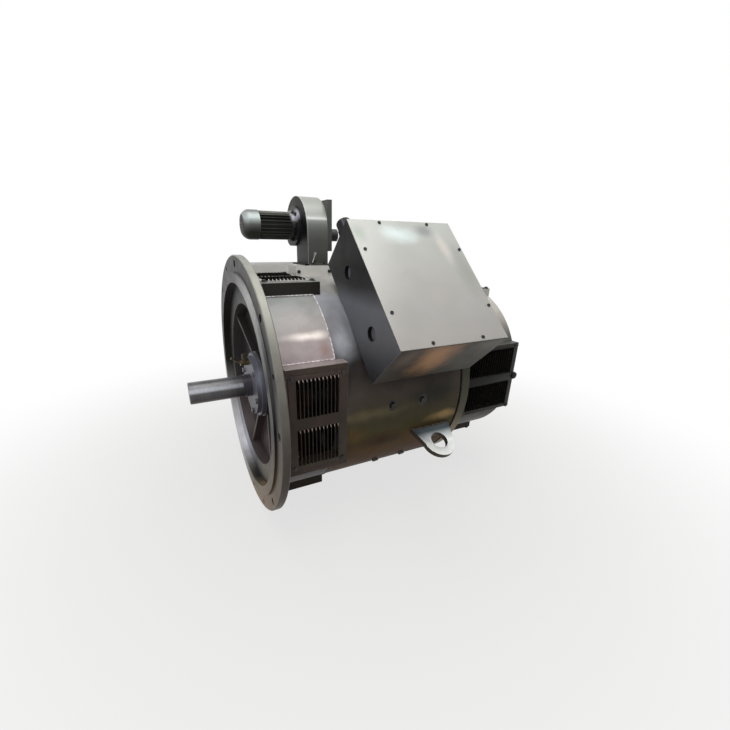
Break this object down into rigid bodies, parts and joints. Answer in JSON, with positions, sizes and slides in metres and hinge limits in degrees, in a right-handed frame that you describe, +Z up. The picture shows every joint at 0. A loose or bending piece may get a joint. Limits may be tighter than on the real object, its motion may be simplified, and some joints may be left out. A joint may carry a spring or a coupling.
{
  "type": "dc shunt motor",
  "caption": "Flange-mounted DC shunt motor with louvred window covers, angled terminal box, lifting lugs and a fan unit for forced ventilation.",
  "frame": {"origin": "centre of the mounting flange's face, on the shaft axis", "axes": "+X along the shaft from the drive end to the commutator end, the shaft extension points along -X, -Y is the terminal box side, +Z is up"},
  "size_m": [1.364, 1.136, 1.227],
  "materials": {
    "frame_paint": "grey metallic paint",
    "window_paint": "dark brown-black paint",
    "cast_grey": "grey paint on cast iron",
    "machined_flange": "machined face",
    "box_paint": "pale silver paint",
    "bright_steel": "turned steel",
    "dark_steel": "blackened steel",
    "zinc": "zinc plated",
    "laminated": "laminated core",
    "copper": "copper",
    "winding": "varnished coils",
    "insulation": "glass laminate",
    "carbon": "carbon",
    "brass": "brass",
    "black_plastic": "moulded",
    "blower_grey": "grey paint on aluminium",
    "duct_sheet": "light grey sheet"
  },
  "bodies": {
    "frame": {"drive_end_shield": "machined_flange", "drive_end_housing": "cast_grey", "drive_end_cover_near": "window_paint", "drive_end_cover_top": "window_paint", "drive_end_cover_far": "window_paint", "drive_end_cover_bottom": "window_paint", "drive_end_cover_bolts": "zinc", "drive_end_outer_cap": "cast_grey", "drive_end_inner_cap": "cast_grey", "drive_end_cap_bolts": "dark_steel", "drive_end_outer_race": "bright_steel", "grease_nipple": "brass", "yoke": "frame_paint", "main_poles": "laminated", "field_coils": "winding", "interpoles": "laminated", "interpole_coils": "copper", "pole_bolts": "dark_steel", "commutator_end_ring": "frame_paint", "commutator_end_housing": "cast_grey", "commutator_end_cover_near": "window_paint", "commutator_end_cover_far": "window_paint", "commutator_end_plain_covers": "window_paint", "commutator_end_cover_bolts": "zinc", "commutator_end_outer_cap": "cast_grey", "commutator_end_inner_cap": "cast_grey", "commutator_end_cap_bolts": "dark_steel", "commutator_end_outer_race": "bright_steel", "frame_bolts": "zinc", "terminal_box": "frame_paint", "terminal_box_cover": "box_paint", "terminal_box_screws": "dark_steel", "terminal_board": "insulation", "terminal_studs": "brass", "cable_entry_plugs": "black_plastic", "lifting_lug_near": "frame_paint", "lifting_lug_far": "frame_paint", "air_duct": "duct_sheet", "blower_volute": "duct_sheet", "blower_bolts": "zinc", "blower_inlet_box": "duct_sheet", "blower_pressure_switch": "black_plastic", "blower_motor_frame": "blower_grey", "blower_fan_cowl": "blower_grey"},
    "rotor": {"shaft": "bright_steel", "armature_core": "laminated", "armature_winding": "winding", "commutator": "copper", "drive_end_inner_race": "bright_steel", "commutator_end_inner_race": "bright_steel"},
    "brush_rocker_body": {"brush_rocker": "cast_grey", "brush_arms": "insulation", "brush_holders": "brass"},
    "blower_rotor": {"blower_shaft": "bright_steel", "blower_cooling_fan": "black_plastic", "blower_impeller": "duct_sheet"},
    "brush_near_body": {"brush_near": "carbon"},
    "brush_top_body": {"brush_top": "carbon"},
    "brush_far_body": {"brush_far": "carbon"},
    "brush_bottom_body": {"brush_bottom": "carbon"}
  },
  "joints": [
    {"name": "rotor_spin", "type": "hinge", "parent": "frame", "child": "rotor", "pos_m": [0, 0, 0], "axis": [1, 0, 0], "continuous": true},
    {"name": "blower_spin", "type": "hinge", "parent": "frame", "child": "blower_rotor", "pos_m": [0, 0.25, 0.61], "axis": [1, 0, 0], "continuous": true},
    {"name": "rocker_shift", "type": "hinge", "parent": "frame", "child": "brush_rocker_body", "pos_m": [0, 0, 0], "axis": [1, 0, 0], "range_deg": [-6, 6]},
    {"name": "brush_near_lift", "type": "slide", "parent": "brush_rocker_body", "child": "brush_near_body", "axis": [0, -1, 0], "range_m": [0, 0.012], "stiffness_N_per_m": 250, "springref_m": -0.04},
    {"name": "brush_top_lift", "type": "slide", "parent": "brush_rocker_body", "child": "brush_top_body", "axis": [0, 0, 1], "range_m": [0, 0.012], "stiffness_N_per_m": 250, "springref_m": -0.04},
    {"name": "brush_far_lift", "type": "slide", "parent": "brush_rocker_body", "child": "brush_far_body", "axis": [0, 1, 0], "range_m": [0, 0.012], "stiffness_N_per_m": 250, "springref_m": -0.04},
    {"name": "brush_bottom_lift", "type": "slide", "parent": "brush_rocker_body", "child": "brush_bottom_body", "axis": [0, 0, -1], "range_m": [0, 0.012], "stiffness_N_per_m": 250, "springref_m": -0.04}
  ]
}
